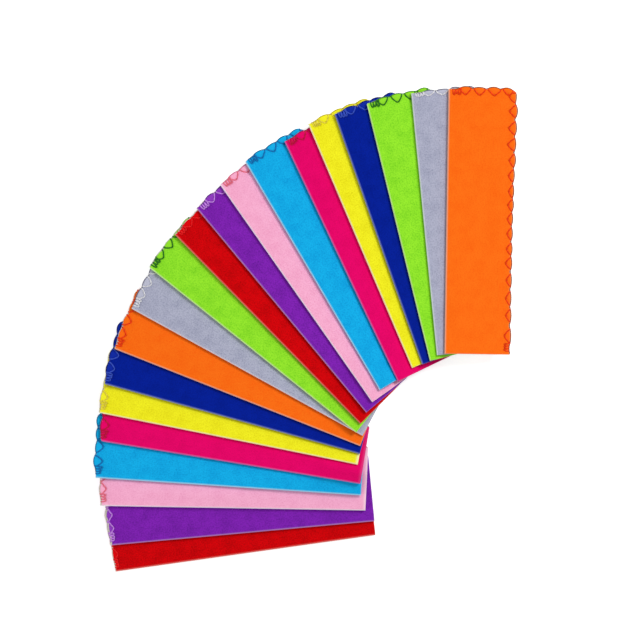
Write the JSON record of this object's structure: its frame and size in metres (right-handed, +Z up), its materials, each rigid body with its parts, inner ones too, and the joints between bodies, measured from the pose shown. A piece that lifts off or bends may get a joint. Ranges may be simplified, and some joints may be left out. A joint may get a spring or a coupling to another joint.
{
  "type": "fanned set of soft pouch cases",
  "caption": "Slim soft pouch cases of folded padded cloth, each sewn down one side and across one end and open at the other, fanned out over each other.",
  "frame": {"origin": "on the table under the middle of the fan's bounding box", "axes": "+Z up from the table, +Y nearly along the length of the uppermost case from its mouth to its closed end, +X towards that case's seam"},
  "size_m": [0.2529, 0.2936, 0.0232],
  "materials": {
    "cloth_red": "matte knit face on thin padded cloth",
    "cloth_purple": "matte knit face on thin padded cloth",
    "cloth_pink": "matte knit face on thin padded cloth",
    "cloth_cyan": "matte knit face on thin padded cloth",
    "cloth_magenta": "matte knit face on thin padded cloth",
    "cloth_yellow": "matte knit face on thin padded cloth",
    "cloth_navy": "matte knit face on thin padded cloth",
    "cloth_orange": "matte knit face on thin padded cloth",
    "cloth_grey": "matte knit face on thin padded cloth",
    "cloth_green": "matte knit face on thin padded cloth",
    "thread_red": "twisted sewing thread",
    "thread_purple": "twisted sewing thread",
    "thread_pink": "twisted sewing thread",
    "thread_cyan": "twisted sewing thread",
    "thread_magenta": "twisted sewing thread",
    "thread_yellow": "twisted sewing thread",
    "thread_navy": "twisted sewing thread",
    "thread_orange": "twisted sewing thread",
    "thread_grey": "twisted sewing thread",
    "thread_green": "twisted sewing thread"
  },
  "bodies": {
    "pouch_01": {"case_01_red": "cloth_red", "needle_thread_01_red": "thread_red", "looper_thread_01_red": "thread_red"},
    "pouch_02": {"case_02_purple": "cloth_purple", "needle_thread_02_purple": "thread_purple", "looper_thread_02_purple": "thread_purple"},
    "pouch_03": {"case_03_pink": "cloth_pink", "needle_thread_03_pink": "thread_pink", "looper_thread_03_pink": "thread_pink"},
    "pouch_04": {"case_04_cyan": "cloth_cyan", "needle_thread_04_cyan": "thread_cyan", "looper_thread_04_cyan": "thread_cyan"},
    "pouch_05": {"case_05_magenta": "cloth_magenta", "needle_thread_05_magenta": "thread_magenta", "looper_thread_05_magenta": "thread_magenta"},
    "pouch_06": {"case_06_yellow": "cloth_yellow", "needle_thread_06_yellow": "thread_yellow", "looper_thread_06_yellow": "thread_yellow"},
    "pouch_07": {"case_07_navy": "cloth_navy", "needle_thread_07_navy": "thread_navy", "looper_thread_07_navy": "thread_navy"},
    "pouch_08": {"case_08_orange": "cloth_orange", "needle_thread_08_orange": "thread_orange", "looper_thread_08_orange": "thread_orange"},
    "pouch_09": {"case_09_grey": "cloth_grey", "needle_thread_09_grey": "thread_grey", "looper_thread_09_grey": "thread_grey"},
    "pouch_10": {"case_10_green": "cloth_green", "needle_thread_10_green": "thread_green", "looper_thread_10_green": "thread_green"},
    "pouch_11": {"case_11_red": "cloth_red", "needle_thread_11_red": "thread_red", "looper_thread_11_red": "thread_red"},
    "pouch_12": {"case_12_purple": "cloth_purple", "needle_thread_12_purple": "thread_purple", "looper_thread_12_purple": "thread_purple"},
    "pouch_13": {"case_13_pink": "cloth_pink", "needle_thread_13_pink": "thread_pink", "looper_thread_13_pink": "thread_pink"},
    "pouch_14": {"case_14_cyan": "cloth_cyan", "needle_thread_14_cyan": "thread_cyan", "looper_thread_14_cyan": "thread_cyan"},
    "pouch_15": {"case_15_magenta": "cloth_magenta", "needle_thread_15_magenta": "thread_magenta", "looper_thread_15_magenta": "thread_magenta"},
    "pouch_16": {"case_16_yellow": "cloth_yellow", "needle_thread_16_yellow": "thread_yellow", "looper_thread_16_yellow": "thread_yellow"},
    "pouch_17": {"case_17_navy": "cloth_navy", "needle_thread_17_navy": "thread_navy", "looper_thread_17_navy": "thread_navy"},
    "pouch_18": {"case_18_green": "cloth_green", "needle_thread_18_green": "thread_green", "looper_thread_18_green": "thread_green"},
    "pouch_19": {"case_19_grey": "cloth_grey", "needle_thread_19_grey": "thread_grey", "looper_thread_19_grey": "thread_grey"},
    "pouch_20": {"case_20_orange": "cloth_orange", "needle_thread_20_orange": "thread_orange", "looper_thread_20_orange": "thread_orange"}
  },
  "joints": [
    {"name": "lift_02", "type": "slide", "parent": "pouch_01", "child": "pouch_02", "axis": [0, 0, 1], "range_m": [0, 0.03]},
    {"name": "lift_03", "type": "slide", "parent": "pouch_02", "child": "pouch_03", "axis": [0, 0, 1], "range_m": [0, 0.03]},
    {"name": "lift_04", "type": "slide", "parent": "pouch_03", "child": "pouch_04", "axis": [0, 0, 1], "range_m": [0, 0.03]},
    {"name": "lift_05", "type": "slide", "parent": "pouch_04", "child": "pouch_05", "axis": [0, 0, 1], "range_m": [0, 0.03]},
    {"name": "lift_06", "type": "slide", "parent": "pouch_05", "child": "pouch_06", "axis": [0, 0, 1], "range_m": [0, 0.03]},
    {"name": "lift_07", "type": "slide", "parent": "pouch_06", "child": "pouch_07", "axis": [0, 0, 1], "range_m": [0, 0.03]},
    {"name": "lift_08", "type": "slide", "parent": "pouch_07", "child": "pouch_08", "axis": [0, 0, 1], "range_m": [0, 0.03]},
    {"name": "lift_09", "type": "slide", "parent": "pouch_08", "child": "pouch_09", "axis": [0, 0, 1], "range_m": [0, 0.03]},
    {"name": "lift_10", "type": "slide", "parent": "pouch_09", "child": "pouch_10", "axis": [0, 0, 1], "range_m": [0, 0.03]},
    {"name": "lift_11", "type": "slide", "parent": "pouch_10", "child": "pouch_11", "axis": [0, 0, 1], "range_m": [0, 0.03]},
    {"name": "lift_12", "type": "slide", "parent": "pouch_11", "child": "pouch_12", "axis": [0, 0, 1], "range_m": [0, 0.03]},
    {"name": "lift_13", "type": "slide", "parent": "pouch_12", "child": "pouch_13", "axis": [0, 0, 1], "range_m": [0, 0.03]},
    {"name": "lift_14", "type": "slide", "parent": "pouch_13", "child": "pouch_14", "axis": [0, 0, 1], "range_m": [0, 0.03]},
    {"name": "lift_15", "type": "slide", "parent": "pouch_14", "child": "pouch_15", "axis": [0, 0, 1], "range_m": [0, 0.03]},
    {"name": "lift_16", "type": "slide", "parent": "pouch_15", "child": "pouch_16", "axis": [0, 0, 1], "range_m": [0, 0.03]},
    {"name": "lift_17", "type": "slide", "parent": "pouch_16", "child": "pouch_17", "axis": [0, 0, 1], "range_m": [0, 0.03]},
    {"name": "lift_18", "type": "slide", "parent": "pouch_17", "child": "pouch_18", "axis": [0, 0, 1], "range_m": [0, 0.03]},
    {"name": "lift_19", "type": "slide", "parent": "pouch_18", "child": "pouch_19", "axis": [0, 0, 1], "range_m": [0, 0.03]},
    {"name": "lift_20", "type": "slide", "parent": "pouch_19", "child": "pouch_20", "axis": [0, 0, 1], "range_m": [0, 0.03]}
  ]
}
